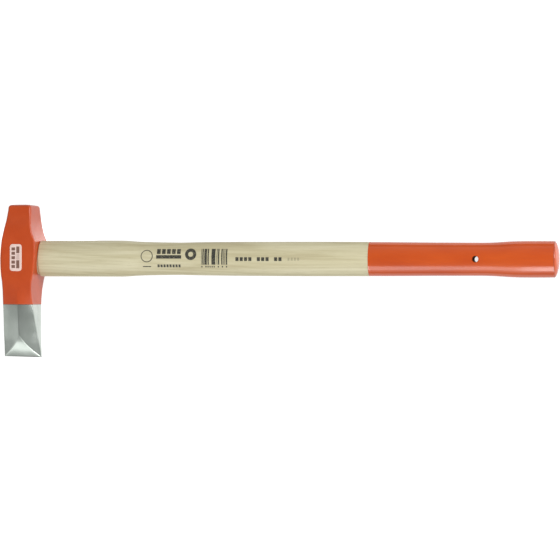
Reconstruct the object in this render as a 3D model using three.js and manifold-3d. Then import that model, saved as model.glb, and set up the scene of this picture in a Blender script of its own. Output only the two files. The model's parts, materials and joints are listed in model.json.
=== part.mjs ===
import * as THREE from 'three';
import { mergeVertices } from 'three/addons/utils/BufferGeometryUtils.js';
import Module from 'manifold-3d';

// Splitting maul, lying on its cheek. Lengths are millimetres.
// +X runs along the handle from the head to the butt, +Y points to the poll and -Y to the
// cutting edge, and +Z points up, out of the upper cheek.
// The origin is on the lower cheek, straight under the centre of the eye.

const wasm = await Module();
wasm.setup();
const { clamp, degToRad, lerp } = THREE.MathUtils;

// ---- Driving dimensions ----

const overallLength = 801.4;
const gap = 0.3; // clearance between pieces that touch

const cheekThickness = 56; // head across the cheeks at the eye
const pollFaceY = 78;
const cuttingEdgeY = -142.6;
const edgeHalfWidth = 28.4; // half the length of the cutting edge
const lugHalfWidth = 26.5; // half the depth of the head at the eye

const cheekEndY = -33; // the flat cheek ends here and the ridge begins
const cheekFlatPart = 0.6; // part of the head's width that the cheek's middle flat takes
const ridgeApexY = -107.5; // the ridge ends here and the bevel begins
const ridgeApexHalf = 18; // half thickness at the apex
const ridgeFlatHalf = 0.6; // half width of the ridge line itself
const edgeHalf = 0.6; // half thickness of the blunt cutting edge
const pollChamfer = 2.5; // vertical corners of the poll
const pollChamferEndY = 50;
const forgedChamfer = 0.9; // broken corners everywhere else
const thinChamferPart = 0.4; // most of a thin side's half thickness that a chamfer may take

const tenonTop = { height: 43, thick: 27 };
const tenonBase = { height: 46, thick: 30 };
const shoulderFace = { height: 48.4, thick: 32 };
const topInset = 0.5; // the tenon and the wedges stop this far inside the eye
const kerf = { depth: 36, mouth: 5.6, root: 1.8 };
const ringWedge = { outer: 6.5, inner: 4.9, length: 20, offset: 11, taper: 4, tip: 0.3 };

const coatStart = 509; // where the dipped grip begins
const coatThickness = 0.6;
const hangingHole = { x: 659, radius: 4.5 };
const dome = { length: 5.3, steps: 6, turn: degToRad(84) };

const label = { x: -1.6, y: 1, width: 18, height: 38.7, corner: 3, thick: 0.2 };

const axisHeight = cheekThickness / 2; // handle axis above the lower cheek
const buttX = overallLength - edgeHalfWidth;
const shoulderX = lugHalfWidth + gap;
const topX = topInset - lugHalfWidth;

// ---- Solids and booleans ----

function toSolid(geometry) {
  const bare = geometry.clone();
  bare.deleteAttribute('normal');
  bare.deleteAttribute('uv');
  const merged = mergeVertices(bare, 1e-4);
  return new wasm.Manifold(new wasm.Mesh({
    numProp: 3,
    vertProperties: new Float32Array(merged.attributes.position.array),
    triVerts: new Uint32Array(merged.index.array),
  }));
}

function toGeometry(solid) {
  const mesh = solid.getMesh();
  const geometry = new THREE.BufferGeometry();
  geometry.setAttribute('position', new THREE.BufferAttribute(mesh.vertProperties, 3));
  geometry.setIndex(new THREE.BufferAttribute(mesh.triVerts, 1));
  geometry.computeVertexNormals();
  return geometry;
}

// Closed body through a row of rings that all have the same number of points.
function loft(rings) {
  const count = rings[0].length;
  const index = [];
  for (let row = 0; row < rings.length - 1; row += 1) {
    for (let i = 0; i < count; i += 1) {
      const a = row * count + i;
      const b = row * count + ((i + 1) % count);
      index.push(a, b, b + count, a, b + count, a + count);
    }
  }
  const last = (rings.length - 1) * count;
  for (let i = 1; i < count - 1; i += 1) {
    index.push(0, i + 1, i);
    index.push(last, last + i, last + i + 1);
  }
  const geometry = new THREE.BufferGeometry().setFromPoints(rings.flat());
  geometry.setIndex(index);
  return geometry;
}

// ---- Head ----

// The head from the poll to the edge: how far it reaches to the handle side (front) and away
// from it (back), and half its thickness at those sides.
const headStations = [
  { y: pollFaceY, front: 17.6, back: 16.2, side: 21 },
  { y: 62, front: 18.8, back: 17.4, side: 22.3 },
  { y: 53, front: 19.2, back: 18.3, side: 25 },
  { y: 45, front: 19.9, back: 19.8, side: 27.3 },
  { y: 36, front: 21.5, back: 21.6, side: axisHeight },
  { y: 26, front: 25.9, back: 24.2, side: axisHeight },
  { y: 13, front: lugHalfWidth, back: lugHalfWidth, side: axisHeight },
  { y: -13, front: lugHalfWidth, back: lugHalfWidth, side: axisHeight },
  { y: -26, front: 23.4, back: 24.4, side: axisHeight },
  { y: cheekEndY, front: 21.7, back: 23.2, side: 27.6 },
  { y: -45, front: 20.4, back: 22.9, side: 25.6 },
  { y: -60, front: 20.5, back: 23.7, side: 21.8 },
  { y: -77, front: 21.8, back: 24.8, side: 16.4 },
  { y: -92, front: 23.1, back: 25.5, side: 13 },
  { y: ridgeApexY, front: 24.6, back: 26.5, side: 8.9 },
  { y: -124, front: 26.6, back: 27.9, side: 4 },
  { y: cuttingEdgeY, front: edgeHalfWidth, back: edgeHalfWidth, side: edgeHalf },
];

function partWay(value, from, to) {
  return clamp((value - from) / (to - from), 0, 1);
}

// Cross-section of the head: broken corners, and a middle that stands up as the ridge below
// the cheek and widens into the bevel below the ridge's apex.
function headRing({ y, front, back, side }) {
  const downBevel = partWay(y, ridgeApexY, cuttingEdgeY);
  const ridgeHalf = lerp(axisHeight, ridgeApexHalf, partWay(y, cheekEndY, ridgeApexY));
  const middle = Math.max(side, lerp(ridgeHalf, edgeHalf, downBevel));
  const wanted = lerp(forgedChamfer, pollChamfer, partWay(y, pollChamferEndY, pollFaceY));
  const chamfer = Math.min(wanted, side * thinChamferPart);
  const quarter = (reach) => {
    const ridgeFlat = lerp(ridgeFlatHalf, reach - 2 * chamfer, downBevel);
    const flat = y >= cheekEndY ? reach * cheekFlatPart : ridgeFlat;
    return [[reach, side - chamfer], [reach - chamfer, side], [flat, middle]];
  };
  const top = quarter(front).concat(quarter(back).map(([x, z]) => [-x, z]).reverse());
  const bottom = top.map(([x, z]) => [x, -z]).reverse();
  return top.concat(bottom).map(([x, z]) => new THREE.Vector3(x, y, axisHeight + z));
}

// ---- Handle and coating ----

// Height along Y and thickness along Z at the places where the handle's shape changes.
const handleKeys = [
  { x: shoulderX + 3, height: 51.6, thick: 34 },
  { x: 90, height: 51.6, thick: 34 },
  { x: 148, height: 51.4, thick: 34 },
  { x: 172, height: 48.9, thick: 32.6 },
  { x: 196, height: 47.1, thick: 31.6 },
  { x: 235, height: 46, thick: 31.2 },
  { x: 270, height: 47.3, thick: 31.4 },
  { x: 320, height: 48.1, thick: 31.6 },
  { x: 430, height: 48.2, thick: 31.6 },
  { x: coatStart, height: 47.8, thick: 31.4 },
  { x: 600, height: 46.5, thick: 30.6 },
  { x: 662, height: 45.9, thick: 30.4 },
  { x: 684, height: 46.6, thick: 30.8 },
  { x: 702, height: 48.9, thick: 32.2 },
  { x: 722, height: 50.4, thick: 33.2 },
  { x: 750, height: 50.5, thick: 33.4 },
  { x: buttX - dome.length, height: 50, thick: 33 },
];
const handleSteps = 44;
const sectionPoints = 28;
const sectionPower = 2.3; // a superellipse, slightly fuller than a plain ellipse

function ovalRing({ x, height, thick }) {
  const bulge = (value) => Math.sign(value) * Math.abs(value) ** (2 / sectionPower);
  return Array.from({ length: sectionPoints }, (_, i) => {
    const angle = (2 * Math.PI * i) / sectionPoints;
    const y = (height / 2) * bulge(Math.cos(angle));
    const z = (thick / 2) * bulge(Math.sin(angle));
    return new THREE.Vector3(x, y, axisHeight + z);
  });
}

const sweep = (sections) => toSolid(loft(sections.map(ovalRing)));

// Smooth run of sections through the keys.
const handleRun = new THREE.CatmullRomCurve3(
  handleKeys.map(({ x, height, thick }) => new THREE.Vector3(x, height, thick)),
).getPoints(handleSteps).map((point) => ({ x: point.x, height: point.y, thick: point.z }));

// Rounded butt beyond the last key.
const domeRun = Array.from({ length: dome.steps }, (_, i) => {
  const angle = (dome.turn * (i + 1)) / dome.steps;
  const shrink = Math.cos(angle);
  const rise = Math.sin(angle) / Math.sin(dome.turn);
  const { x, height, thick } = handleKeys.at(-1);
  return { x: x + dome.length * rise, height: height * shrink, thick: thick * shrink };
});

// Section at one place along the handle, read off the smooth run.
function sectionAt(x) {
  const next = handleRun.findIndex((section) => section.x >= x);
  const low = handleRun[next - 1];
  const high = handleRun[next];
  const part = partWay(x, low.x, high.x);
  return { x, height: lerp(low.height, high.height, part), thick: lerp(low.thick, high.thick, part) };
}

// The same section with its surface pulled in, and its end too once it is on the dome.
function thinned({ x, height, thick }, amount) {
  const onDome = x > buttX - dome.length;
  return { x: onDome ? x - amount : x, height: height - 2 * amount, thick: thick - 2 * amount };
}

const coatedRun = handleRun.concat(domeRun).filter(({ x }) => x > coatStart + 1);

// Tenon, shoulder and grip; inside the coat the wood is thinner by the coat and the gap.
function handleSolid() {
  const coatEdge = sectionAt(coatStart - gap);
  const afterEdge = { ...coatEdge, x: coatStart };
  return sweep([
    { x: topX, ...tenonTop },
    { x: shoulderX, ...tenonBase },
    { x: shoulderX + gap, ...shoulderFace },
    ...handleRun.filter(({ x }) => x < coatStart - 1),
    coatEdge,
    ...[afterEdge, ...coatedRun].map((section) => thinned(section, coatThickness + gap)),
  ]);
}

function coatSolid() {
  const outside = [sectionAt(coatStart + gap), ...coatedRun];
  const inside = outside.map((section) => thinned(section, coatThickness));
  inside[0].x -= coatThickness + gap;
  return sweep(outside).subtract(sweep(inside));
}

// ---- Tools for the cuts ----

function hangingHoleCutter() {
  const { x, radius } = hangingHole;
  const geometry = new THREE.CylinderGeometry(radius, radius, 2 * cheekThickness, 24);
  geometry.rotateX(Math.PI / 2);
  geometry.translate(x, 0, axisHeight);
  return toSolid(geometry);
}

function eyeCutter() {
  const grow = ({ height, thick }) => ({ height: height + 2 * gap, thick: thick + 2 * gap });
  return sweep([
    { x: -edgeHalfWidth, ...grow(tenonTop) },
    { x: topX, ...grow(tenonTop) },
    { x: shoulderX, ...grow(tenonBase) },
    { x: edgeHalfWidth, ...grow(tenonBase) },
  ]);
}

// ---- Wedges ----

// Tapered plate in the plane of the eye's long axis; grow widens it into its own kerf.
function wedgePlate(halfHeight, grow) {
  const start = grow > 0 ? -edgeHalfWidth : topX;
  const end = topX + kerf.depth;
  const outline = new THREE.Shape();
  outline.moveTo(start, -kerf.mouth / 2 - grow);
  outline.lineTo(end, -kerf.root / 2 - grow);
  outline.lineTo(end, kerf.root / 2 + grow);
  outline.lineTo(start, kerf.mouth / 2 + grow);
  outline.closePath();
  const geometry = new THREE.ExtrudeGeometry(outline, { depth: 2 * halfHeight, bevelEnabled: false });
  geometry.rotateX(Math.PI / 2);
  geometry.translate(grow > 0 ? grow : 0, halfHeight, axisHeight);
  return toSolid(geometry);
}

// Steel ring with a tapered nose, driven in along X; grow widens it into its own slot.
function ringBody(side, grow) {
  const { outer, inner, length, offset, taper, tip } = ringWedge;
  const start = grow > 0 ? -edgeHalfWidth : topX;
  const end = topX + length + grow;
  const middle = (inner + outer) / 2;
  const profile = [
    [inner - grow, start],
    [outer + grow, start],
    [outer + grow, end - taper],
    [middle + tip + grow, end],
    [middle - tip - grow, end],
    [inner - grow, end - taper],
    [inner - grow, start],
  ].map(([radius, along]) => new THREE.Vector2(radius, along));
  const geometry = new THREE.LatheGeometry(profile, 24);
  geometry.rotateZ(-Math.PI / 2);
  geometry.translate(0, side * offset, axisHeight);
  return geometry;
}

// ---- Label ----

function labelGeometry() {
  const { width, height, corner, thick } = label;
  const right = width / 2 - corner;
  const top = height / 2 - corner;
  const corners = [[right, top], [-right, top], [-right, -top], [right, -top]];
  const outline = new THREE.Shape();
  corners.forEach(([x, y], i) => {
    outline.absarc(x, y, corner, (i * Math.PI) / 2, ((i + 1) * Math.PI) / 2);
  });
  outline.closePath();
  return new THREE.ExtrudeGeometry(outline, { depth: thick, bevelEnabled: false, curveSegments: 5 });
}

// ---- Assembly ----

const materials = {
  head: new THREE.MeshStandardMaterial({ color: '#c2512a', roughness: 0.35, metalness: 0.1 }),
  wood: new THREE.MeshStandardMaterial({ color: '#d5cba8', roughness: 0.6, metalness: 0 }),
  wedgeWood: new THREE.MeshStandardMaterial({ color: '#b98f5c', roughness: 0.7, metalness: 0 }),
  steel: new THREE.MeshStandardMaterial({ color: '#8b9088', roughness: 0.4, metalness: 1 }),
  coat: new THREE.MeshStandardMaterial({ color: '#c85a2d', roughness: 0.25, metalness: 0 }),
  label: new THREE.MeshStandardMaterial({ color: '#f4f0ea', roughness: 0.4, metalness: 0 }),
};

const maul = new THREE.Group();

function addPiece(name, geometry, material) {
  const mesh = new THREE.Mesh(geometry, material.clone());
  mesh.name = name;
  maul.add(mesh);
  return mesh;
}

const hole = hangingHoleCutter();
const ringSlots = toSolid(ringBody(1, gap)).add(toSolid(ringBody(-1, gap)));
const kerfCutter = wedgePlate(tenonBase.height, gap);

const head = toSolid(loft(headStations.map(headRing))).subtract(eyeCutter());
const handle = handleSolid().subtract(hole).subtract(kerfCutter).subtract(ringSlots);
const woodWedge = wedgePlate(tenonTop.height / 2 - 2, 0).subtract(ringSlots);

addPiece('maul_head', toGeometry(head), materials.head);
addPiece('hickory_handle', toGeometry(handle), materials.wood);
addPiece('eye_wood_wedge', toGeometry(woodWedge), materials.wedgeWood);
addPiece('ring_wedge_upper', ringBody(1, 0), materials.steel);
addPiece('ring_wedge_lower', ringBody(-1, 0), materials.steel);
addPiece('grip_dip_coating', toGeometry(coatSolid().subtract(hole)), materials.coat);
addPiece('cheek_label', labelGeometry(), materials.label)
  .position.set(label.x, label.y, cheekThickness + gap);

export default maul;
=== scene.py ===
import json
import math

import bmesh
import bpy
import numpy as np
from mathutils import Matrix, Vector


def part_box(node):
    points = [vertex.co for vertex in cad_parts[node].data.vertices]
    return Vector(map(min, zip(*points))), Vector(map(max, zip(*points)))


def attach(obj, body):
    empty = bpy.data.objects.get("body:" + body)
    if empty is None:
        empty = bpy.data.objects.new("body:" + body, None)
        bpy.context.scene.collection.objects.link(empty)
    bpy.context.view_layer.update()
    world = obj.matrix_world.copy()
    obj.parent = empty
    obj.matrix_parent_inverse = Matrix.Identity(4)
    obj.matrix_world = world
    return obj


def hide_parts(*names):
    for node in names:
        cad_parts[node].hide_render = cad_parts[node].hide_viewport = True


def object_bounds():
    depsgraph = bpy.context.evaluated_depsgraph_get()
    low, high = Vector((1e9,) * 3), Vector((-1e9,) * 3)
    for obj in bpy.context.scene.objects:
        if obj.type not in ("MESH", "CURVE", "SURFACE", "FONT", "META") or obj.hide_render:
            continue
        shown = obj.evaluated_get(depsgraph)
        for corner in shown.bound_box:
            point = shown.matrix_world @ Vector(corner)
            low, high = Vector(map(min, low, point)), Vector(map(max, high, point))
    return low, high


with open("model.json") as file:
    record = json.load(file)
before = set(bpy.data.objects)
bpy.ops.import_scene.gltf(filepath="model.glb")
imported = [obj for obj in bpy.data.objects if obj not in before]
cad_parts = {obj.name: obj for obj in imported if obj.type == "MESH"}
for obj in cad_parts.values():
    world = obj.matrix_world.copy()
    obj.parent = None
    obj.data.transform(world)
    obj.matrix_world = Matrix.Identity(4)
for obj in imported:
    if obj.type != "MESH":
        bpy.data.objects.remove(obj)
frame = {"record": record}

# Splitting maul on a white table, seen from above and a little from the butt end.
# +X runs to the butt, +Y to the poll, +Z up. Shapes are worked out in millimetres and placed in
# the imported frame, which is in metres.

MM = 0.001
cad_low, cad_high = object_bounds()
head_low, head_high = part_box("maul_head")
wood_low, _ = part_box("hickory_handle")
coat_low, coat_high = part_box("grip_dip_coating")
label_low, label_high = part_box("cheek_label")
wedge_low, wedge_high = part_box("eye_wood_wedge")
hole_box = np.array(frame["record"]["physics"]["openings"][0]["box_m"])

AXIS = (head_low.z + head_high.z) / 2 / MM
CHEEK = (head_high.z - head_low.z) / 2 / MM
POLL = head_high.y / MM
EDGE = head_low.y / MM
TENON_END = wood_low.x / MM
COAT_START = coat_low.x / MM
BUTT = coat_high.x / MM
HOLE_X = hole_box[:, 0].mean() / MM

PAINT_LINE = -66.2  # the bit is ground bare below this
CHEEK_END = -33.0
APEX = -107.5
APEX_HALF = 18.0
EDGE_HALF = 0.6
DOME = 6.2
DOME_RIM = 0.28  # above 0 the dome leaves the grip at an angle
COAT_THICK = 0.6
COAT_LIP = 0.12
HOLE_RADIUS = 4.1
LIFT = 0.9  # degrees that the handle's underside leans over the table
FLOOR_GAP = 0.2
TABLE = 4000


# ---- Shape tools ----

def profile(keys, at, blur):
    """Values at the places in at: straight between the keys, then blurred so that corners are round."""
    places, values = (np.array(column, float) for column in zip(*sorted(keys)))
    slopes = np.diff(values) / np.diff(places)
    offsets = np.linspace(-2.5, 2.5, 21)
    weights = np.exp(-offsets ** 2 / 2)
    total = np.zeros(len(at))
    for offset, weight in zip(offsets, weights):
        where = at + offset * blur
        before = np.minimum(where - places[0], 0) * slopes[0]
        beyond = np.maximum(where - places[-1], 0) * slopes[-1]
        total += weight * (np.interp(where, places, values) + before + beyond)
    return total / weights.sum()


def add_mesh(name, points, faces):
    mesh = bpy.data.meshes.new(name)
    mesh.from_pydata([tuple(p) for p in np.asarray(points) * MM], [], faces)
    outward = bmesh.new()
    outward.from_mesh(mesh)
    bmesh.ops.recalc_face_normals(outward, faces=outward.faces)
    outward.to_mesh(mesh)
    outward.free()
    piece = bpy.data.objects.new(name, mesh)
    bpy.context.scene.collection.objects.link(piece)
    return piece


def loft(name, rings):
    """Closed skin through rings of equally many points, with a fan to the middle of each end."""
    rings = np.asarray(rings)
    rows, count = rings.shape[:2]
    points = np.concatenate([rings.reshape(-1, 3), rings[:1].mean(axis=1), rings[-1:].mean(axis=1)])
    start, end = rows * count, rows * count + 1
    after = [(i + 1) % count for i in range(count)]
    faces = []
    for row in range(rows - 1):
        a, b = row * count, (row + 1) * count
        faces += [(a + i, a + after[i], b + after[i], b + i) for i in range(count)]
    last = (rows - 1) * count
    faces += [(start, after[i], i) for i in range(count)]
    faces += [(end, last + i, last + after[i]) for i in range(count)]
    return add_mesh(name, points, faces)


def cut(piece, cutter):
    """Takes one closed mesh out of another and leaves plain mesh behind."""
    modifier = piece.modifiers.new("cut", "BOOLEAN")
    modifier.operation = "DIFFERENCE"
    modifier.solver = "EXACT"
    modifier.object = cutter
    graph = bpy.context.evaluated_depsgraph_get()
    mesh = bpy.data.meshes.new_from_object(piece.evaluated_get(graph))
    piece.modifiers.clear()
    piece.data = mesh
    bpy.data.objects.remove(cutter)


def smooth(piece, sharp_degrees):
    """Smooth shading, apart from edges that bend by more than the angle."""
    for face in piece.data.polygons:
        face.use_smooth = True
    piece.data.set_sharp_from_angle(angle=math.radians(sharp_degrees))


def round_corners(corners, radii, steps, arc=6):
    """Closed outline through the corners, each rounded by a short Bezier arc."""
    corners = np.asarray(corners, float)
    count = len(corners)
    starts, ends = [], []
    for i, corner in enumerate(corners):
        to_last = corners[i - 1] - corner
        to_next = corners[(i + 1) % count] - corner
        reach = min(radii[i], 0.45 * np.linalg.norm(to_last), 0.45 * np.linalg.norm(to_next))
        starts.append(corner + to_last / max(np.linalg.norm(to_last), 1e-9) * reach)
        ends.append(corner + to_next / max(np.linalg.norm(to_next), 1e-9) * reach)
    outline = []
    for i, corner in enumerate(corners):
        for t in np.linspace(0, 1, arc + 1):
            outline.append((1 - t) ** 2 * starts[i] + 2 * t * (1 - t) * corner + t ** 2 * ends[i])
        after = starts[(i + 1) % count]
        for t in np.linspace(0, 1, steps[i] + 2)[1:-1]:
            outline.append((1 - t) * ends[i] + t * after)
    return np.array(outline)


# ---- Head ----

EDGE_FRONT = 28.3  # reach of the cutting edge to the handle side
# Place along Y, and how far the head reaches to the handle side, to the far side, and to each
# cheek at its sides.
HEAD_KEYS = [
    (POLL, 17.6, 16.0, 20.8), (62, 18.8, 17.4, 22.3), (53.5, 19.2, 18.2, 25.0),
    (45, 20.1, 19.8, 27.4), (36, 22.2, 21.6, CHEEK), (31, 24.3, 22.8, CHEEK),
    (26, 26.4, 23.9, CHEEK), (13, 26.9, 25.2, CHEEK), (0, 26.4, 25.8, CHEEK),
    (-14, 25.2, 25.4, CHEEK), (-25, 23.4, 24.4, CHEEK), (CHEEK_END, 21.7, 23.2, 27.6),
    (-45, 20.4, 22.9, 25.6), (-58, 20.4, 23.5, 22.4), (-67, 21.1, 24.2, 19.4),
    (-77, 21.8, 24.8, 16.4), (-90, 22.9, 25.4, 13.4), (APEX, 24.6, 26.5, 8.8),
    (-123, 26.4, 27.3, 4.2), (-133, 27.7, 27.6, 2.3), (EDGE, EDGE_FRONT, 27.8, EDGE_HALF),
]
EDGE_SLANT = 0.015  # the heel of the edge is lower than its toe
SLANT_START = -80.0  # and the slant comes on from here
POLL_EDGE = 4.0
POLL_CROWN = 0.9
BEVEL_POWER = 1.45  # above 1 the bevel is ground a little convex


def section_sizes(at):
    """Reach to the front, back and cheek sides, cheek middle, chamfer and ridge flat at each place."""
    front, back = (profile([(key[0], key[i]) for key in HEAD_KEYS], at, 1.6) for i in (1, 2))
    soft = np.interp(at, [APEX + 5, PAINT_LINE - 5], [1.2, 5.0])
    side = np.minimum(profile([(key[0], key[3]) for key in HEAD_KEYS], at, soft), CHEEK)
    ridge = profile([(APEX, APEX_HALF), (CHEEK_END, CHEEK), (0, CHEEK)], at, soft)
    down_bevel = np.clip((APEX - at) / (APEX - EDGE), 0, 1)
    bevel = EDGE_HALF + (APEX_HALF - EDGE_HALF) * (1 - down_bevel ** BEVEL_POWER)
    middle = np.where(at > 0, side, np.minimum(np.where(at < APEX, bevel, ridge), ridge))
    middle = np.maximum(middle, side)
    chamfer = np.interp(at, [EDGE, -60, 48, POLL], [0.25, 1.0, 1.2, 2.3])
    bevel_width = np.clip((ridge - middle) / np.maximum(ridge - side, 0.1), 0, 0.97)
    up_cheek = np.clip((at - CHEEK_END + 14) / 22, 0, 1)
    flat = np.where(at < APEX, 0.5 + bevel_width * (front - 1.0), 0.5 + up_cheek * 11)
    return zip(at, front, back, side, middle, chamfer, flat)


def head_ring(y, front, back, side, middle, chamfer, flat, inset=0.0):
    """Ring across the head: cheeks with a flat or ridged middle, sides, and chamfered corners."""
    front, back, side, middle = (value - inset for value in (front, back, side, middle))
    chamfer = min(chamfer, 0.4 * side)
    quarter = [(front, side - chamfer), (front - chamfer, side), (flat, middle)]
    mirrored = [(-back, side - chamfer), (-back + chamfer, side), (-flat * back / front, middle)]
    top = quarter + mirrored[::-1]
    corners = top + [(x, -z) for x, z in reversed(top)]
    radii = [1.2, 1.2, 1.6, 1.6, 1.2, 1.2] * 2
    steps = [1, 9, 8, 9, 1, 14] * 2
    outline = round_corners(corners, radii, steps)
    along_bit = np.clip((SLANT_START - y) / (SLANT_START - EDGE), 0, 1)
    slant = EDGE_SLANT * (EDGE_FRONT - outline[:, 0]) * along_bit ** 2
    return np.stack([outline[:, 0], y + slant, outline[:, 1] + AXIS], axis=1)


def head_rings():
    """Rings from the cutting edge up to the middle of the crowned poll face."""
    rim_start = POLL - POLL_CROWN - POLL_EDGE
    at = np.concatenate([np.linspace(EDGE, PAINT_LINE, 95), np.linspace(PAINT_LINE, rim_start, 150)[1:]])
    rings = [head_ring(*sizes) for sizes in section_sizes(at)]
    top = list(section_sizes(np.array([rim_start])))[0]
    for turn in np.linspace(0, math.pi / 2, 9)[1:]:
        y = rim_start + POLL_EDGE * math.sin(turn)
        rings.append(head_ring(y, *top[1:], inset=POLL_EDGE * (1 - math.cos(turn))))
    rim = rings[-1]
    middle = rim.mean(axis=0)
    for scale in np.linspace(1, 0, 12)[1:-1]:
        ring = middle + (rim - middle) * scale
        ring[:, 1] = POLL - POLL_CROWN * scale ** 2
        rings.append(ring)
    return rings


# ---- Handle and coating ----

# Place along the handle, height along Y and thickness along Z.
HANDLE_KEYS = [
    (20, 51.6, 34.0), (150, 51.6, 34.0), (160, 50.8, 33.7), (170, 49.1, 33.0), (186, 47.7, 32.2),
    (200, 47.1, 31.7), (215, 46.5, 31.4), (238, 46.0, 31.2), (262, 47.0, 31.3), (274, 47.4, 31.4),
    (325, 48.1, 31.6), (430, 48.3, 31.6), (460, 48.1, 31.5), (509, 47.8, 31.4), (535, 47.5, 31.3),
    (600, 46.4, 30.7), (640, 46.1, 30.5), (672, 45.8, 30.4), (685, 46.6, 30.9), (700, 48.6, 32.2),
    (710, 49.7, 32.9), (722, 50.3, 33.2), (745, 50.4, 33.4), (BUTT - DOME, 50.1, 33.2),
]
SECTION_POINTS = 96
SECTION_POWER = 2.02  # 2 is an ellipse, and above it the sides are fuller
SHOULDER = 26.9
SHOULDER_RADIUS = 2.0
TENON_SIZE = (43.0, 27.0)  # height and thickness at the trimmed end
TENON_GROWTH = 3.0  # and how much more at the shoulder
EYE_GAP = 0.2
EYE_START, EYE_DEPTH = -26.0, 53.0


def handle_size(at):
    """Height along Y and thickness along Z at each place along the handle."""
    height = profile([(x, h) for x, h, _ in HANDLE_KEYS], at, 4.0)
    thick = profile([(x, t) for x, _, t in HANDLE_KEYS], at, 4.0)
    return height, thick


def oval(x, height, thick):
    """Ring across the handle."""
    turn = np.linspace(0, 2 * math.pi, SECTION_POINTS, endpoint=False)
    bulge = [np.sign(wave) * np.abs(wave) ** (2 / SECTION_POWER) for wave in (np.cos(turn), np.sin(turn))]
    return np.stack([np.full(SECTION_POINTS, x), bulge[0] * height / 2, bulge[1] * thick / 2 + AXIS], axis=1)


def grip_rings(first, last, inset, step=2.0):
    """Rings of the handle between two places, drawn in by the inset."""
    at = np.linspace(first, last, int((last - first) / step))
    return [oval(x, h - 2 * inset, t - 2 * inset) for x, h, t in zip(at, *handle_size(at))]


def dome_rings(inset):
    """Rings of the domed butt, from the end of the grip almost to its tip."""
    start = BUTT - DOME
    height, thick = (size[0] for size in handle_size(np.array([start])))
    rings = []
    for t in np.sin(np.linspace(0, math.pi / 2, 24)[:-1]):
        bent = DOME_RIM + (1 - DOME_RIM) * t
        shrink = math.sqrt((1 - bent ** 2) / (1 - DOME_RIM ** 2))
        x = start + 0.05 + (DOME - inset - 0.05) * t
        rings.append(oval(x, (height - 2 * inset) * shrink, (thick - 2 * inset) * shrink))
    return rings


def hole_cutter(radius, flare):
    """Round cutter through the hanging hole, with mouths that open out a little."""
    half = handle_size(np.array([HOLE_X]))[1][0] / 2
    turn = np.linspace(0, 2 * math.pi, 48, endpoint=False)
    rings = []
    for z in np.linspace(-half - 4, half + 4, 97):
        inside = max(0.0, half - abs(z))
        reach = radius + flare * math.exp(-inside / 0.8)
        ring = [HOLE_X + reach * np.cos(turn), reach * np.sin(turn), np.full(48, AXIS + z)]
        rings.append(np.stack(ring, axis=1))
    return loft("hole_cutter", rings)


def tenon_oval(x, part, grow):
    """The tenon's section: part is 0 at its trimmed end and 1 at the shoulder."""
    return oval(x, *(size + TENON_GROWTH * part + grow for size in TENON_SIZE))


def tenon_rings():
    """The wood inside the eye, from its trimmed end to the shoulder."""
    rings = []
    for x in np.concatenate([[TENON_END], np.linspace(TENON_END + 0.4, SHOULDER - 0.3, 28)]):
        part = (x - TENON_END) / (SHOULDER - TENON_END)
        trim = 0.8 if x == TENON_END else 0.0
        rings.append(tenon_oval(x, part, -trim))
    height, thick = (size[0] for size in handle_size(np.array([SHOULDER])))
    for turn in np.linspace(0, math.pi / 2, 8):
        inset = SHOULDER_RADIUS * (1 - math.sin(turn))
        x = SHOULDER + SHOULDER_RADIUS * (1 - math.cos(turn))
        rings.append(oval(x, height - 2 * inset, thick - 2 * inset))
    return rings


def eye_cutter():
    """The eye itself, with softened mouths."""
    rings = []
    for x in (-32, -26.6, -26.0, -25.2, -24.0, 0, 22, 24.5, 25.8, 26.8, 32):
        part = (x - EYE_START) / EYE_DEPTH
        mouth = max(0.0, min(1.0, (abs(x) - 24.0) / 2.0))
        rings.append(tenon_oval(x, part, EYE_GAP + 2 * mouth))
    return loft("eye_cutter", rings)


# ---- Wedges ----

WEDGE_TIP = 0.9  # half the thickness at the tip
RING_WALL = 1.6
RING_NOSE = 4.0  # length of the taper


def wedge_piece(name, end, grow):
    """Wooden wedge, thick at the trimmed end of the tenon and thin at its tip."""
    half = (wedge_high.y - wedge_low.y) / 2 / MM + grow
    tip = wedge_high.x / MM
    mouth = (wedge_high.z - wedge_low.z) / 2 / MM + grow
    rings = []
    for x in np.linspace(end, tip, 20):
        part = (x - wedge_low.x / MM) / (tip - wedge_low.x / MM)
        thick = mouth + (WEDGE_TIP - mouth) * part
        corners = [(half, thick), (-half, thick), (-half, -thick), (half, -thick)]
        outline = round_corners(corners, [0.4] * 4, [20, 3, 20, 3], arc=3)
        rings.append(np.stack([np.full(len(outline), x), outline[:, 0], outline[:, 1] + AXIS], axis=1))
    return loft(name, rings)


def ring_piece(name, node, proud, grow):
    """Steel ring wedge: a turned tube with a tapered nose, its head softened by the hammer."""
    low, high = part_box(node)
    outer = (high.y - low.y) / 2 / MM + grow
    inner = outer - RING_WALL - 2 * grow
    back, nose = low.x / MM - proud, high.x / MM
    middle = (outer + inner) / 2
    shape = [
        (inner + 0.35, back), (outer - 0.35, back), (outer - 0.1, back + 0.1), (outer, back + 0.4),
        (outer, nose - RING_NOSE), (middle + 0.3, nose), (middle - 0.3, nose), (inner, nose - RING_NOSE),
        (inner, back + 0.4), (inner + 0.1, back + 0.1),
    ]
    count = 72
    points, faces = [], []
    for i in range(count):
        turn = 2 * math.pi * i / count
        for radius, x in shape:
            y = (low.y + high.y) / 2 / MM + radius * math.cos(turn)
            points.append((x, y, AXIS + radius * math.sin(turn)))
    rows = len(shape)
    for i in range(count):
        a, b = i * rows, (i + 1) % count * rows
        faces += [(a + j, b + j, b + (j + 1) % rows, a + (j + 1) % rows) for j in range(rows)]
    return add_mesh(name, points, faces)


# ---- Label ----

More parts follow.
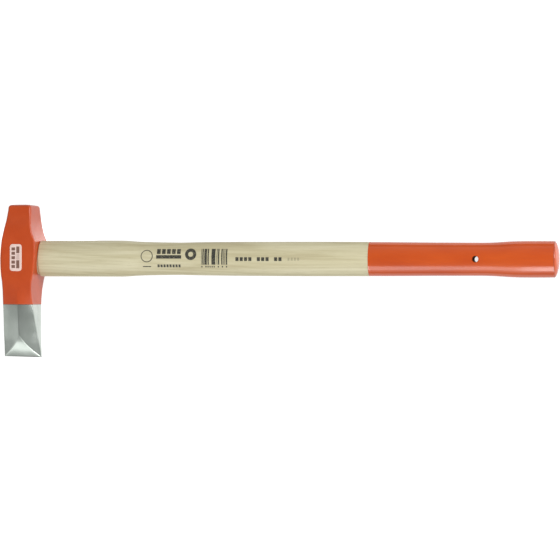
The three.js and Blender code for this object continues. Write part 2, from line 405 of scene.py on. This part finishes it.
def label_piece(name):
    """Thin film with round corners and a softened rim, just above the cheek."""
    middle = (label_low + label_high) / 2 / MM
    half = (label_high - label_low) / 2 / MM
    base = head_high.z / MM + 0.02
    rings = []
    for height, inset in ((0.0, 0.0), (0.12, 0.0), (0.17, 0.03), (0.2, 0.1)):
        corners = [(half.x - inset, half.y - inset), (inset - half.x, half.y - inset)]
        corners += [(-x, -y) for x, y in corners]
        outline = round_corners(corners, [5.0] * 4, [10, 20, 10, 20], arc=14)
        z = np.full(len(outline), base + height)
        rings.append(np.stack([outline[:, 0] + middle.x, outline[:, 1] + middle.y, z], axis=1))
    rim = rings[-1]
    centre = rim.mean(axis=0)
    rings += [centre + (rim - centre) * scale for scale in np.linspace(1, 0.05, 8)[1:]]
    return loft(name, rings)


# ---- Material tools ----

def new_material(name):
    material = bpy.data.materials.new(name)
    material.use_nodes = True
    return material, material.node_tree, material.node_tree.nodes["Principled BSDF"]


def add(tree, kind, inputs=(), **settings):
    """One node. inputs maps a socket's name or number to a value or to another node's output."""
    made = tree.nodes.new("ShaderNode" + kind)
    for key, value in settings.items():
        setattr(made, key, value)
    for key, value in dict(inputs).items():
        if isinstance(value, bpy.types.NodeSocket):
            tree.links.new(value, made.inputs[key])
        else:
            made.inputs[key].default_value = value
    return made


def calc(tree, operation, *values, clamp=False):
    """Output of one Math node."""
    made = add(tree, "Math", enumerate(values), operation=operation, use_clamp=clamp)
    return made.outputs[0]


def place(tree, stretch=(1, 1, 1)):
    """Position on the object in metres, scaled along each axis."""
    where = add(tree, "TexCoord").outputs["Object"]
    return add(tree, "Mapping", {"Vector": where, "Scale": stretch}).outputs[0]


def noise(tree, stretch, detail=2.0, rough=0.5, distortion=0.0):
    """Noise with about stretch[i] swells per metre along each axis."""
    sockets = {"Vector": place(tree, stretch), "Scale": 1.0, "Detail": detail, "Roughness": rough}
    sockets["Distortion"] = distortion
    return add(tree, "TexNoise", sockets).outputs[0]


def ramp(tree, factor, stops):
    """Colour that runs through the stops, each a position and a colour."""
    made = add(tree, "ValToRGB", {0: factor})
    elements = made.color_ramp.elements
    while len(elements) < len(stops):
        elements.new(0.5)
    for element, (position, colour) in zip(elements, stops):
        element.position = position
        element.color = (*colour, 1) if len(colour) == 3 else colour
    return made.outputs[0]


def blend_colour(tree, factor, first, second, mode="MIX"):
    made = tree.nodes.new("ShaderNodeMix")
    made.data_type = "RGBA"
    made.blend_type = mode
    for index, value in ((0, factor), (6, first), (7, second)):
        if isinstance(value, bpy.types.NodeSocket):
            tree.links.new(value, made.inputs[index])
        else:
            made.inputs[index].default_value = value if index == 0 else (*value, 1)
    return made.outputs[2]


def band(tree, value, low, high, soft=0.0003):
    """1 between low and high, falling to 0 over a short soft edge."""
    reach = calc(tree, "ABSOLUTE", calc(tree, "SUBTRACT", value, (low + high) / 2))
    room = calc(tree, "SUBTRACT", (high - low) / 2, reach)
    return calc(tree, "MULTIPLY_ADD", room, 1 / soft, 0.5, clamp=True)


def block(tree, x, y, left, right, bottom, top):
    """1 inside a rectangle given in millimetres."""
    sides = band(tree, x, left * MM, right * MM)
    return calc(tree, "MULTIPLY", sides, band(tree, y, bottom * MM, top * MM))


def circle(tree, x, y, middle, low, high):
    """1 between two radii around the middle, in millimetres."""
    away = [calc(tree, "SUBTRACT", value, centre * MM) for value, centre in zip((x, y), middle)]
    squares = [calc(tree, "MULTIPLY", part, part) for part in away]
    return band(tree, calc(tree, "SQRT", calc(tree, "ADD", *squares)), low * MM, high * MM)


def dashes(tree, along, pitch, filled, seed, missing=0.16):
    """Plain dashes of one pitch, with some left out at random."""
    steps = calc(tree, "MULTIPLY_ADD", along, 1 / (pitch * MM), seed)
    chance = add(tree, "TexWhiteNoise", {"W": calc(tree, "FLOOR", steps)}, noise_dimensions="1D").outputs[0]
    kept = calc(tree, "GREATER_THAN", chance, missing)
    dash = band(tree, calc(tree, "FRACT", steps), 0.5 - filled / 2, 0.5 + filled / 2, 0.08)
    return calc(tree, "MULTIPLY", kept, dash)


def stripes(tree, along, pitch, seed):
    """Upright stripes of random width that stand for nothing."""
    steps = calc(tree, "FLOOR", calc(tree, "MULTIPLY_ADD", along, 1 / (pitch * MM), seed))
    chance = add(tree, "TexWhiteNoise", {"W": steps}, noise_dimensions="1D").outputs[0]
    return calc(tree, "GREATER_THAN", chance, 0.3)


def total(tree, masks):
    """Sum of masks that don't overlap."""
    result = masks[0]
    for mask in masks[1:]:
        result = calc(tree, "ADD", result, mask, clamp=True)
    return result


def bump(tree, height, distance, strength=1.0, below=None):
    sockets = {"Height": height, "Distance": distance, "Strength": strength}
    if below is not None:
        sockets["Normal"] = below
    return add(tree, "Bump", sockets).outputs[0]


def grey(value):
    return (value, value, value)


# ---- Materials ----

def orange_paint():
    """Sprayed enamel over a rough forging: orange peel, soft dents and a rubbed poll rim."""
    material, tree, shader = new_material("orange_paint")
    cloud = noise(tree, (40, 40, 40), 3)
    colour = ramp(tree, cloud, [(0.3, (0.51, 0.060, 0.007)), (0.7, (0.57, 0.075, 0.011))])
    y = add(tree, "SeparateXYZ", {0: place(tree)}).outputs[1]
    rim = band(tree, y, (POLL - 1.8) * MM, (POLL + 2) * MM, 0.002)
    worn = ramp(tree, noise(tree, (300, 300, 300), 3), [(0.35, grey(0.15)), (0.65, grey(0.6))])
    colour = blend_colour(tree, calc(tree, "MULTIPLY", rim, worn), colour, (0.24, 0.05, 0.02))
    tree.links.new(colour, shader.inputs["Base Color"])
    rough = calc(tree, "MULTIPLY_ADD", noise(tree, (150, 150, 150), 3), 0.16, 0.24)
    tree.links.new(rough, shader.inputs["Roughness"])
    dents = bump(tree, noise(tree, (60, 60, 60), 2), 0.0004, 0.4)
    peel = bump(tree, noise(tree, (320, 320, 320), 1), 0.00001, 0.4, dents)
    tree.links.new(peel, shader.inputs["Normal"])
    return material


def ground_steel():
    """Ground steel: fine scratches across the bit, with clouded, uneven brightness, and painted dark lines
    at the cutting edge and under the paint's edge.
    """
    material, tree, shader = new_material("ground_steel")
    cloud = noise(tree, (50, 35, 50), 3)
    colour = ramp(tree, cloud, [(0.3, (0.45, 0.50, 0.455)), (0.7, (0.55, 0.60, 0.555))])
    y = add(tree, "SeparateXYZ", {0: place(tree)}).outputs[1]
    # Painted light: a painted dark reflection along the rounded cutting edge, and a painted shadow line just
    # below the paint's edge.
    for low, high in ((EDGE - 1, EDGE + 1.3), (PAINT_LINE - 0.6, PAINT_LINE + 1)):
        painted_dark_line = calc(tree, "MULTIPLY", band(tree, y, low * MM, high * MM, 0.0006), 0.75)
        colour = blend_colour(tree, painted_dark_line, colour, (0.13, 0.14, 0.12))
    tree.links.new(colour, shader.inputs["Base Color"])
    shader.inputs["Metallic"].default_value = 0.95
    scratch = noise(tree, (60, 2600, 2600), 3, 0.7)
    rough = calc(tree, "MULTIPLY_ADD", scratch, 0.10, 0.09)
    tree.links.new(rough, shader.inputs["Roughness"])
    tree.links.new(bump(tree, scratch, 0.000004, 0.4), shader.inputs["Normal"])
    return material


def handle_marks(tree, x, y, z):
    """Where the handle is printed: plain shapes and dashes in a row, with no letters or figures."""
    number_row = block(tree, x, y, 205, 240, -12.3, -8.2)
    name_row = block(tree, x, y, 320, 394, -3.2, 2.2)
    faint_row = block(tree, x, y, 395, 414, -2.6, 1.6)
    bar_block = block(tree, x, y, 270.5, 308.4, -8.5, 13.9)
    under_bars = block(tree, x, y, 269, 308.4, -12.4, -10.2)
    plate_row = block(tree, x, y, 204.4, 241.2, 6.6, 13.6)
    marks = [
        circle(tree, x, y, (190.5, 3.5), 7.6, 8.8),
        block(tree, x, y, 184.5, 196.5, -12.0, -10.6),
        calc(tree, "MULTIPLY", plate_row, dashes(tree, x, 7.36, 0.74, 0.23, 0.0)),
        block(tree, x, y, 204.4, 241.2, 0, 5.0),
        calc(tree, "MULTIPLY", number_row, dashes(tree, x, 4.4, 0.72, 0.3)),
        circle(tree, x, y, (255, 6.2), 3.6, 8.2),
        calc(tree, "MULTIPLY", bar_block, stripes(tree, x, 0.95, 41.5)),
        calc(tree, "MULTIPLY", under_bars, dashes(tree, x, 3.0, 0.6, 0.1)),
        calc(tree, "MULTIPLY", name_row, dashes(tree, x, 6.2, 0.74, 0.45)),
        calc(tree, "MULTIPLY", calc(tree, "MULTIPLY", faint_row, 0.3), dashes(tree, x, 4.6, 0.6, 0.2)),
    ]
    worn = ramp(tree, noise(tree, (900, 1300, 1300), 3), [(0.32, grey(0.55)), (0.46, grey(1.0))])
    near_side = calc(tree, "GREATER_THAN", z, AXIS * MM)
    return calc(tree, "MULTIPLY", calc(tree, "MULTIPLY", total(tree, marks), worn), near_side)


def hickory():
    """Pale straight-grained hickory, with faint year rings, streaks, pores and printed marks."""
    material, tree, shader = new_material("hickory")
    x, y, z = add(tree, "SeparateXYZ", {0: place(tree)}).outputs
    warp = calc(tree, "MULTIPLY", noise(tree, (2.4, 25, 25), 2), 0.03)
    slope = calc(tree, "MULTIPLY_ADD", x, 0.035, warp)
    across = calc(tree, "MULTIPLY_ADD", y, 0.8, calc(tree, "MULTIPLY_ADD", z, 0.6, slope))
    rings = calc(tree, "SINE", calc(tree, "MULTIPLY", across, 2 * math.pi / 0.0055))
    late = calc(tree, "POWER", calc(tree, "MULTIPLY_ADD", rings, 0.5, 0.5), 3.0)
    streak = noise(tree, (5, 80, 80), 4, 0.55, 0.8)
    fibre = noise(tree, (14, 1300, 1300), 2, 0.6)
    tone = calc(tree, "MULTIPLY_ADD", late, -0.07, streak)
    tone = calc(tree, "MULTIPLY_ADD", calc(tree, "SUBTRACT", fibre, 0.5), 0.28, tone)
    stops = [(0.2, (0.43, 0.37, 0.215)), (0.42, (0.56, 0.51, 0.32)), (0.62, (0.66, 0.615, 0.42))]
    colour = ramp(tree, tone, stops)
    pore = ramp(tree, noise(tree, (70, 2000, 2000), 1), [(0.66, grey(0)), (0.74, grey(1))])
    colour = blend_colour(tree, calc(tree, "MULTIPLY", pore, 0.3), colour, (0.28, 0.21, 0.10))
    colour = blend_colour(tree, handle_marks(tree, x, y, z), colour, (0.025, 0.026, 0.021))
    tree.links.new(colour, shader.inputs["Base Color"])
    shader.inputs["Roughness"].default_value = 0.5
    groove = bump(tree, pore, -0.00006, 0.5)
    tree.links.new(bump(tree, fibre, 0.00003, 0.5, groove), shader.inputs["Normal"])
    return material


def dipped_lacquer():
    """Thick glossy lacquer that lets the grain below show as long, shallow waves, with a painted dark
    reflection along the crease where the grip turns into the dome.
    """
    material, tree, shader = new_material("dipped_lacquer")
    cloud = noise(tree, (12, 45, 45), 2)
    colour = ramp(tree, cloud, [(0.3, (0.52, 0.062, 0.002)), (0.7, (0.60, 0.084, 0.005))])
    x = add(tree, "SeparateXYZ", {0: place(tree)}).outputs[0]
    # Painted dark reflection: a dark band along the crease at the start of the dome.
    rim = band(tree, x, (BUTT - DOME - 0.5) * MM, (BUTT - DOME + 0.4) * MM, 0.0006)
    colour = blend_colour(tree, calc(tree, "MULTIPLY", rim, 0.8), colour, (0.20, 0.03, 0.012))
    tree.links.new(colour, shader.inputs["Base Color"])
    shader.inputs["Roughness"].default_value = 0.17
    shader.inputs["Specular IOR Level"].default_value = 0.85
    waves = bump(tree, noise(tree, (9, 160, 160), 2), 0.0003, 0.35)
    tree.links.new(waves, shader.inputs["Normal"])
    return material


def hole_painted_shade():
    """Painted shade inside the hanging hole: the lacquered wall there is given a near-black colour and a
    rough finish.
    """
    material, tree, shader = new_material("hole_painted_shade")
    cloud = noise(tree, (700, 700, 200), 2)
    colour = ramp(tree, cloud, [(0.3, (0.10, 0.022, 0.008)), (0.7, (0.19, 0.040, 0.012))])
    tree.links.new(colour, shader.inputs["Base Color"])
    shader.inputs["Roughness"].default_value = 0.85
    shader.inputs["Specular IOR Level"].default_value = 0.15
    return material


def wedge_wood():
    material, tree, shader = new_material("wedge_wood")
    fibre = noise(tree, (120, 900, 2000), 3, 0.6)
    colour = ramp(tree, fibre, [(0.3, (0.33, 0.19, 0.08)), (0.7, (0.50, 0.33, 0.16))])
    tree.links.new(colour, shader.inputs["Base Color"])
    shader.inputs["Roughness"].default_value = 0.7
    tree.links.new(bump(tree, fibre, 0.00015, 0.6), shader.inputs["Normal"])
    return material


def wedge_steel():
    material, tree, shader = new_material("wedge_steel")
    cloud = noise(tree, (300, 300, 300), 3)
    colour = ramp(tree, cloud, [(0.3, (0.28, 0.28, 0.27)), (0.7, (0.45, 0.45, 0.44))])
    tree.links.new(colour, shader.inputs["Base Color"])
    shader.inputs["Metallic"].default_value = 1.0
    tree.links.new(calc(tree, "MULTIPLY_ADD", cloud, 0.3, 0.3), shader.inputs["Roughness"])
    tree.links.new(bump(tree, cloud, 0.0001, 0.4), shader.inputs["Normal"])
    return material


def label_film():
    """Faintly pink film with plain printed blocks."""
    material, tree, shader = new_material("label_film")
    x, y, _ = add(tree, "SeparateXYZ", {0: place(tree)}).outputs
    cloud = noise(tree, (200, 200, 200), 2)
    colour = ramp(tree, cloud, [(0.3, (0.82, 0.62, 0.56)), (0.7, (0.87, 0.67, 0.61))])
    left, bottom, top = label_low.x / MM, label_low.y / MM, label_high.y / MM
    column = block(tree, x, y, left + 2.6, left + 8.0, bottom + 4, top - 3.4)
    marks = [
        calc(tree, "MULTIPLY", column, dashes(tree, y, 6.3, 0.7, 0.37, 0.0)),
        block(tree, x, y, left + 9.8, left + 14.6, top - 13.0, top - 3.4),
        block(tree, x, y, left + 9.8, left + 14.6, bottom + 4, bottom + 15.5),
        calc(tree, "MULTIPLY", block(tree, x, y, left + 9.8, left + 14.6, bottom + 16.5, top - 14.0), 0.3),
    ]
    colour = blend_colour(tree, total(tree, marks), colour, (0.22, 0.12, 0.09))
    tree.links.new(colour, shader.inputs["Base Color"])
    shader.inputs["Roughness"].default_value = 0.3
    return material


def table_sheet():
    """Milky sheet lit from below, so that the table stays white, with painted pools of light by the poll and
    the butt.
    """
    material, tree, shader = new_material("table_sheet")
    cloud = noise(tree, (6, 6, 6), 2)
    colour = ramp(tree, cloud, [(0.3, grey(0.34)), (0.7, grey(0.36))])
    tree.links.new(colour, shader.inputs["Base Color"])
    shader.inputs["Roughness"].default_value = 0.9
    shader.inputs["Emission Color"].default_value = (1, 1, 1, 1)
    x, y, _ = add(tree, "SeparateXYZ", {0: place(tree)}).outputs
    # Painted pools of light: the sheet glows brighter by the poll and by the butt.
    by_poll = calc(tree, "MULTIPLY", band(tree, x, -0.06, 0.06, 0.04), band(tree, y, 0.01, 0.045, 0.03))
    by_butt = calc(tree, "MULTIPLY", band(tree, x, 0.77, 1.0, 0.04), band(tree, y, -0.01, 0.08, 0.03))
    painted_light_pool = calc(tree, "ADD", by_poll, by_butt)
    strength = calc(tree, "MULTIPLY_ADD", painted_light_pool, 1.5, 0.85)
    tree.links.new(strength, shader.inputs["Emission Strength"])
    return material


# ---- Pieces ----

def settle(piece, slot, *nodes, sharp=50):
    """Shades the piece smoothly, hangs it under the root body and hides the CAD nodes it stands in for; slot
    is not used.
    """
    smooth(piece, sharp)
    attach(piece, "root")
    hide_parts(*nodes)


def make_head():
    head = loft("head_forging", head_rings())
    cut(head, eye_cutter())
    head.data.materials.clear()
    head.data.materials.append(orange_paint())
    head.data.materials.append(ground_steel())
    for face in head.data.polygons:
        face.material_index = int(face.center.y < PAINT_LINE * MM)
    settle(head, "painted_head", "maul_head", sharp=35)


def make_handle():
    wood = loft("handle_wood", tenon_rings() + grip_rings(SHOULDER + 2.4, COAT_START - 0.1, 0.0)
                + grip_rings(COAT_START, BUTT - DOME, COAT_THICK + 0.05) + dome_rings(COAT_THICK + 0.05))
    cut(wood, hole_cutter(HOLE_RADIUS + COAT_THICK, 0.0))
    cut(wood, wedge_piece("kerf", TENON_END - 2, 0.02))
    wedge = wedge_piece("wooden_wedge", TENON_END - 0.25, 0.0)
    for name, node in (("ring_upper", "ring_wedge_upper"), ("ring_lower", "ring_wedge_lower")):
        cut(wood, ring_piece("slot", node, 2.0, 0.02))
        cut(wedge, ring_piece("slot", node, 2.0, 0.02))
        ring = ring_piece(name, node, 0.4, 0.0)
        ring.data.materials.append(wedge_steel())
        settle(ring, "wedge_steel", node)
    for piece, material, slot, node in ((wood, hickory(), "hickory", "hickory_handle"),
                                        (wedge, wedge_wood(), "wedge_wood", "eye_wood_wedge")):
        piece.data.materials.clear()
        piece.data.materials.append(material)
        settle(piece, slot, node)


def make_coat():
    start = COAT_START
    lip = [oval(x, *(size[0] + 2 * rise for size in handle_size(np.array([x]))))
           for x, rise in ((start, -0.3), (start + 0.05, 0.0), (start + 0.3, 0.15), (start + 0.8, COAT_LIP))]
    coat = loft("grip_coat", lip + grip_rings(start + 1.5, BUTT - DOME, 0.0) + dome_rings(0.0))
    inside = loft("inside", grip_rings(start - 3, BUTT - DOME, COAT_THICK) + dome_rings(COAT_THICK))
    cut(inside, hole_cutter(HOLE_RADIUS + COAT_THICK, 0.0))
    cut(coat, inside)
    cut(coat, hole_cutter(HOLE_RADIUS, 0.9))
    coat.data.materials.clear()
    coat.data.materials.append(dipped_lacquer())
    coat.data.materials.append(hole_painted_shade())
    # Faces inside the hanging hole take the painted shade.
    for face in coat.data.polygons:
        reach = math.hypot(face.center.x / MM - HOLE_X, face.center.y / MM)
        face.material_index = int(reach < HOLE_RADIUS + 0.35)
    settle(coat, "dip_coat", "grip_dip_coating", sharp=17)


def make_label():
    label = label_piece("cheek_sticker")
    label.data.materials.append(label_film())
    settle(label, "label_film", "cheek_label")


# ---- Stage ----

def make_floor():
    """White table, tilted so that it touches both the cheek and the butt."""
    contact_x = head_high.x * 0.9
    points = [(x * TABLE, y * TABLE, 0) for x, y in ((-1, -1), (1, -1), (1, 1), (-1, 1))]
    floor = add_mesh("table", points, [(0, 1, 2, 3)])
    floor.data.materials.append(table_sheet())
    tilt = Matrix.Rotation(-math.radians(LIFT), 4, "Y")
    floor.matrix_world = Matrix.Translation((contact_x, 0, -FLOOR_GAP * MM)) @ tilt
    floor.visible_diffuse = False


def area_light(name, location, target, size, watts):
    """Rectangular light at a place, turned towards the target, both counted from the object's middle."""
    middle = (cad_low + cad_high) / 2
    place_at, aim = middle + Vector(location), middle + Vector(target)
    data = bpy.data.lights.new(name, "AREA")
    data.shape = "RECTANGLE"
    data.size, data.size_y = size
    data.energy = watts
    light = bpy.data.objects.new(name, data)
    light.location = place_at
    light.rotation_euler = (aim - place_at).to_track_quat("-Z", "Y").to_euler()
    bpy.context.scene.collection.objects.link(light)


def make_light():
    """Soft lights, and a sky that is brightest some 25 degrees up and dim overhead."""
    area_light("softbox", (0.27, -1.5, 1.5), (0.27, 0, 0), (0.34, 1.0), 6)
    area_light("softbox_left", (-0.27, -1.5, 1.5), (-0.27, 0, 0), (0.58, 0.9), 3.2)
    area_light("overhead", (1.2, 0.9, 1.8), (0, 0, 0), (1.0, 1.0), 24)
    area_light("side_panel", (1.6, 0.6, 0.65), (0, 0, 0), (0.9, 0.4), 7)
    area_light("front_card", (-1.05, -1.7, 0.95), (0, 0, 0), (0.8, 0.5), 0.7)
    world = bpy.data.worlds.new("studio")
    bpy.context.scene.world = world
    world.use_nodes = True
    tree = world.node_tree
    direction = add(tree, "TexCoord").outputs["Generated"]
    split = add(tree, "SeparateXYZ", {0: direction})
    level = calc(tree, "MULTIPLY_ADD", split.outputs[2], 0.5, 0.5)
    tones = [
        (0.45, 0.30), (0.62, 0.40), (0.69, 1.0), (0.74, 1.0), (0.82, 0.70), (0.92, 0.45), (0.98, 0.30),
    ]
    sky = ramp(tree, level, [(height, grey(tone)) for height, tone in tones])
    side = calc(tree, "MULTIPLY_ADD", split.outputs[1], -0.35, 1.0)
    side = calc(tree, "MULTIPLY_ADD", split.outputs[0], 0.35, side)
    back = tree.nodes["Background"]
    tree.links.new(blend_colour(tree, 1.0, sky, side, "MULTIPLY"), back.inputs["Color"])
    back.inputs["Strength"].default_value = 0.95


def make_camera():
    """Long lens high above the table, leaning towards the butt."""
    lean, roll = math.radians(12.8), math.radians(0.226)
    distance = 2.915
    aim = Vector((0.38135, -0.0297, AXIS * MM))
    towards = Vector((math.sin(lean), 0, math.cos(lean)))
    right = Vector((math.cos(lean), 0, -math.sin(lean)))
    up = towards.cross(right)
    turned = Matrix.Rotation(roll, 3, towards)
    right, up = turned @ right, turned @ up
    data = bpy.data.cameras.new("camera")
    data.sensor_width = 36
    data.lens = 133.0714
    camera = bpy.data.objects.new("camera", data)
    axes = Matrix((right, up, towards)).transposed().to_4x4()
    camera.matrix_world = Matrix.Translation(aim + towards * distance) @ axes
    bpy.context.scene.collection.objects.link(camera)
    bpy.context.scene.camera = camera


make_camera()
make_floor()
make_light()
make_head()
make_handle()
make_coat()
make_label()
bpy.context.scene.view_settings.view_transform = "Standard"

bpy.context.view_layer.update()
